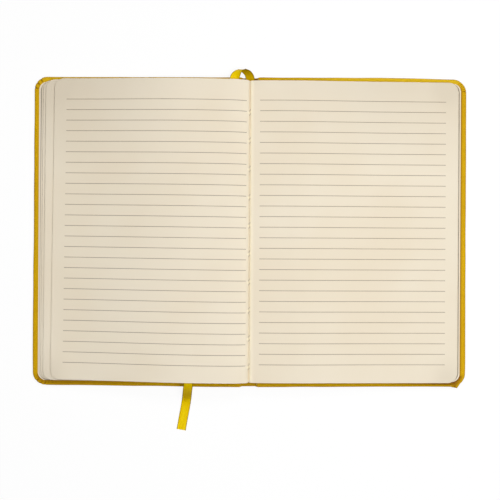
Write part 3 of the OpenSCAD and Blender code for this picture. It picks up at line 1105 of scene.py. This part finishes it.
def headCornerShadePart(half, x, y):
    # painted shade on the paper: darker towards the head, and in the corners at the fore edge
    head = np.clip((y - 40) / 60, 0, 1) * np.clip((x - half["toneStart"]) / 80, 0, 1)
    corner = np.exp(-((x - 134) / 9)**2 - ((np.abs(y) - 98) / 10)**2)
    return np.clip(head * half["tone"] + corner * 0.7, 0, 1)


def inputOf(tree, name):
    return next(i.identifier for i in tree.interface.items_tree if i.name == name)


def withNodes(piece, tree, values):
    # the piece's mesh as the node tree makes it, with the modifier gone
    modifier = piece.modifiers.new("nodes", "NODES")
    modifier.node_group = tree
    for name, value in values.items():
        modifier[inputOf(tree, name)] = value
    evaluated = piece.evaluated_get(bpy.context.evaluated_depsgraph_get())
    mesh = bpy.data.meshes.new_from_object(evaluated)
    piece.modifiers.clear()
    piece.data = mesh
    return piece


def newTree(name, inputs):
    # the tree, its inputs, where its result goes, and a function that adds a node and gives its first output
    tree = bpy.data.node_groups.new(name, "GeometryNodeTree")
    tree.interface.new_socket("Geometry", in_out="INPUT", socket_type="NodeSocketGeometry")
    for label, kind, value in inputs:
        socket = tree.interface.new_socket(label, in_out="INPUT", socket_type=kind)
        if value is not None:
            socket.default_value = value
    tree.interface.new_socket("Geometry", in_out="OUTPUT", socket_type="NodeSocketGeometry")
    source = tree.nodes.new("NodeGroupInput")
    sink = tree.nodes.new("NodeGroupOutput")

    def add(kind, settings=None, **sockets):
        node = tree.nodes.new(kind)
        for key, setting in (settings or {}).items():
            setattr(node, key, setting)
        for key, value in sockets.items():
            number = key[0] == "n" and key[1:].isdigit()
            socket = node.inputs[int(key[1:]) if number else key.replace("_", " ")]
            links = value if isinstance(value, list) else [value]
            if isinstance(links[0], bpy.types.NodeSocket):
                for link in links:
                    tree.links.new(link, socket)
            else:
                socket.default_value = value
        return node.outputs[0]

    return tree, source.outputs, sink.inputs[0], add


def leafStackTree():
    tree, put, result, add = newTree("leaf stack", [
        ("Leaves", "NodeSocketInt", 10),
        ("First", "NodeSocketInt", 0),
        ("Leaf Pitch", "NodeSocketFloat", 0.1),
        ("Scatter", "NodeSocketFloat", 0.0002),
        ("Seed", "NodeSocketInt", 1),
        ("Paper", "NodeSocketMaterial", None),
    ])

    def stored(geometry, name, kind, value):
        settings = {"data_type": kind, "domain": "POINT"}
        return add("GeometryNodeStoreNamedAttribute", settings, Geometry=geometry, Name=name, Value=value)

    def named(name, kind):
        return add("GeometryNodeInputNamedAttribute", {"data_type": kind}, Name=name)

    def product(a, b):
        return add("ShaderNodeMath", {"operation": "MULTIPLY"}, n0=a, n1=b)

    def scaled(vector, factor):
        return add("ShaderNodeVectorMath", {"operation": "SCALE"}, n0=vector, Scale=factor)

    line = add("GeometryNodeMeshLine", Count=put["Leaves"], Offset=(0, 0, 0))
    index = add("GeometryNodeInputIndex")
    number = add("ShaderNodeMath", {"operation": "ADD"}, n0=index, n1=put["First"])
    numbered = stored(line, "leafNumber", "FLOAT", number)
    kind = {"data_type": "FLOAT_VECTOR"}
    shift = add("FunctionNodeRandomValue", kind, n0=(-1.0, -1.0, 0.0), n1=(1.0, 1.0, 0.0), Seed=put["Seed"])
    shifted = stored(numbered, "leafShift", "FLOAT_VECTOR", shift)
    placed = add("GeometryNodeInstanceOnPoints", Points=shifted, Instance=put["Geometry"])
    real = add("GeometryNodeRealizeInstances", Geometry=placed)
    down = scaled(named("inward", "FLOAT_VECTOR"), product(named("leafNumber", "FLOAT"), put["Leaf Pitch"]))
    aside = scaled(named("leafShift", "FLOAT_VECTOR"), product(named("loose", "FLOAT"), put["Scatter"]))
    move = add("ShaderNodeVectorMath", {"operation": "ADD"}, n0=down, n1=aside)
    moved = add("GeometryNodeSetPosition", Geometry=real, Offset=move)
    painted = add("GeometryNodeSetMaterial", Geometry=moved, Material=put["Paper"])
    tree.links.new(painted, result)
    return tree


def joinPieces(name, pieces):
    with bpy.context.temp_override(active_object=pieces[0], selected_editable_objects=pieces):
        bpy.ops.object.join()
    pieces[0].name = name
    return pieces[0]


leafStack = leafStackTree()


def makePages(side):
    half = halves[side]
    parts = []
    for bundle in range(1, pages["bundles"] + 1):
        last = bundle == pages["bundles"]
        sheet = leafSheet(f"{side}Leaves{bundle}", half, bundle, 11, 16, 12, 0.12 if last else 0.0)
        parts.append(withNodes(sheet, leafStack, {
            "Leaves": pages["leaves"] - (1 if last else 0),
            "First": 1 if last else 0,
            "Leaf Pitch": 1.0 / pages["leaves"],
            "Scatter": pages["scatter"] * mm,
            "Seed": half["seed"] * 10 + bundle,
            "Paper": pagePaper,
        }))
    topLeaf = leafSheet(f"{side}TopLeaf", half, pages["bundles"], 26, 44, 60, 0.12)
    topLeaf.data.materials.append(pagePaper)
    parts.append(topLeaf)
    piece = joinPieces(f"{side}Pages", parts)
    smoothEdges(piece, 40)
    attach(piece, "block")
    return piece


leftPages = makePages("left")
rightPages = makePages("right")
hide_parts("text_block")
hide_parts("text_block", "ruled_lines")
print("pages made")


# Glued back of the pages and the round floor of the middle fold
def makeBack():
    half = pages["backHalf"]
    fold = foldHeight()
    top = pages["foldHalf"] + pages["foldLap"]
    foot = top + pages["bundleThick"]
    groove = pages["foldHalf"]
    glueZ = pagesBack + pages["glue"]
    flank = [(half, pagesBack), (half, glueZ), (foot, glueZ), (top, fold - 0.2)]
    turns = np.linspace(0.1, math.pi - 0.1, 9)
    outline = [(-half, pagesBack), *flank]
    outline += [(groove * math.cos(a), fold + 0.1 - 0.25 * math.sin(a)) for a in turns]
    outline += [(-x, z) for x, z in flank[:0:-1]]
    stations = np.linspace(-pagesHalfH + 0.1, pagesHalfH - 0.1, 40)
    points = [(x, y, z) for y in stations for x, z in outline]
    faces = [f[::-1] for f in tubeFaces(len(stations), len(outline))]
    piece = meshPiece("gluedBack", points, faces)
    smoothEdges(piece, 40)
    piece.data.materials.append(endPaper)
    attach(piece, "block")
    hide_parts("text_block")


makeBack()


# Stitches: two twisted strands each
def stitchTree():
    tree, put, result, add = newTree("stitches", [
        ("Stitches", "NodeSocketInt", 9),
        ("Pitch", "NodeSocketFloat", 0.019),
        ("Length", "NodeSocketFloat", 0.0178),
        ("Diameter", "NodeSocketFloat", 0.0005),
        ("Turns", "NodeSocketFloat", 12.0),
        ("Start", "NodeSocketVector", None),
        ("Thread", "NodeSocketMaterial", None),
    ])
    strandRadius = add("ShaderNodeMath", {"operation": "MULTIPLY"}, n0=put["Diameter"], n1=0.25)
    back = add("ShaderNodeMath", {"operation": "MULTIPLY"}, n0=put["Pitch"], n1=-1.0)
    offset = add("ShaderNodeCombineXYZ", Y=back)
    line = add("GeometryNodeMeshLine", Count=put["Stitches"], Start_Location=put["Start"], Offset=offset)
    spiral = add(
        "GeometryNodeCurveSpiral", Resolution=9, Rotations=put["Turns"],
        Start_Radius=strandRadius, End_Radius=strandRadius, Height=put["Length"],
    )
    opposite = add("GeometryNodeTransform", Geometry=spiral, Rotation=(0, 0, math.pi))
    strands = add("GeometryNodeJoinGeometry", Geometry=[spiral, opposite])
    profile = add("GeometryNodeCurvePrimitiveCircle", Resolution=6, Radius=strandRadius)
    solid = add("GeometryNodeCurveToMesh", Curve=strands, Profile_Curve=profile, Fill_Caps=True)
    laid = add("GeometryNodeTransform", Geometry=solid, Rotation=(math.pi / 2, 0, 0))
    placed = add("GeometryNodeInstanceOnPoints", Points=line, Instance=laid)
    real = add("GeometryNodeRealizeInstances", Geometry=placed)
    painted = add("GeometryNodeSetMaterial", Geometry=real, Material=put["Thread"])
    tree.links.new(painted, result)
    return tree


def makeStitches():
    length = sewing["pitch"] - sewing["gap"]
    height = foldHeight() + sewing["diameter"] / 2
    holder = meshPiece("stitches", [(0, 0, 0)], [])
    piece = withNodes(holder, stitchTree(), {
        "Stitches": sewing["stations"] - 1,
        "Pitch": sewing["pitch"] * mm,
        "Length": length * mm,
        "Diameter": sewing["diameter"] * mm,
        "Turns": length / sewing["twist"],
        "Start": (0.0, (sewing["first"] - sewing["gap"] / 2) * mm, height * mm),
        "Thread": thread,
    })
    piece.data.shade_smooth()
    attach(piece, "block")
    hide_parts("sewing_thread")


makeStitches()
print("stitches made")


# Floor, lamps and background
studio = {
    "floorHalf": 3.0,
    "floorDrop": 0.0002,
    "floorWhite": 0.86,  # share of the floor's look that comes from its own white
    "key": {"at": (0.16, -0.04, 0.86), "size": 0.5, "power": 4.3},
    "side": {"at": (0.36, 0.02, 0.75), "size": 0.5, "power": 1.0},
    "far": {"at": (0.5, 1.7, 2.2), "size": 0.9, "power": 20.0},
    "sky": 0.1,
}


def mixWhenSeen(tree, plain, white, share, out):
    # white, by its share, where it is seen by the camera, in gloss or through something clear; else plain
    path = tree.nodes.new("ShaderNodeLightPath")
    total = path.outputs["Is Camera Ray"]
    for name in ("Is Glossy Ray", "Is Transmission Ray"):
        most = tree.nodes.new("ShaderNodeMath")
        most.operation = "MAXIMUM"
        tree.links.new(total, most.inputs[0])
        tree.links.new(path.outputs[name], most.inputs[1])
        total = most.outputs[0]
    part = tree.nodes.new("ShaderNodeMath")
    part.operation = "MULTIPLY"
    part.inputs[1].default_value = share
    tree.links.new(total, part.inputs[0])
    mixed = tree.nodes.new("ShaderNodeMixShader")
    for node, socket in zip((part, plain, white, mixed), (*mixed.inputs, out)):
        tree.links.new(node.outputs[0], socket)


def makeFloor():
    half = studio["floorHalf"]
    mesh = bpy.data.meshes.new("floor")
    z = -studio["floorDrop"]
    corners = [(-half, -half, z), (half, -half, z), (half, half, z), (-half, half, z)]
    mesh.from_pydata(corners, [], [(0, 1, 2, 3)])
    floor = bpy.data.objects.new("floor", mesh)
    scene.collection.objects.link(floor)
    s = Shader("pale floor")
    s.set(Base_Color=(0.9, 0.9, 0.9, 1), Roughness=0.8, Specular_IOR_Level=0.1)
    glow = s.add("ShaderNodeEmission", {}, {"Color": (1, 1, 1, 1), "Strength": 1.03})
    mixWhenSeen(s.tree, s.surface, glow.node, studio["floorWhite"], s.output.inputs["Surface"])
    mesh.materials.append(s.material)


def makeLamp(name, setting):
    light = bpy.data.lights.new(name, "AREA")
    light.shape = "DISK"
    light.size = setting["size"]
    light.energy = setting["power"]
    lamp = bpy.data.objects.new(name, light)
    scene.collection.objects.link(lamp)
    lamp.location = setting["at"]
    lamp.rotation_euler = (-Vector(setting["at"])).to_track_quat("-Z", "Y").to_euler()


def makeSky():
    world = bpy.data.worlds.new("sky")
    scene.world = world
    world.use_nodes = True
    tree = world.node_tree
    plain = tree.nodes["Background"]
    plain.inputs["Color"].default_value = (1, 1, 1, 1)
    plain.inputs["Strength"].default_value = studio["sky"]
    white = tree.nodes.new("ShaderNodeBackground")
    white.inputs["Strength"].default_value = 1.0
    mixWhenSeen(tree, plain, white, 1.0, tree.nodes["World Output"].inputs["Surface"])


makeFloor()
for lampName in ("key", "side", "far"):
    makeLamp(lampName, studio[lampName])
makeSky()
print("studio made")
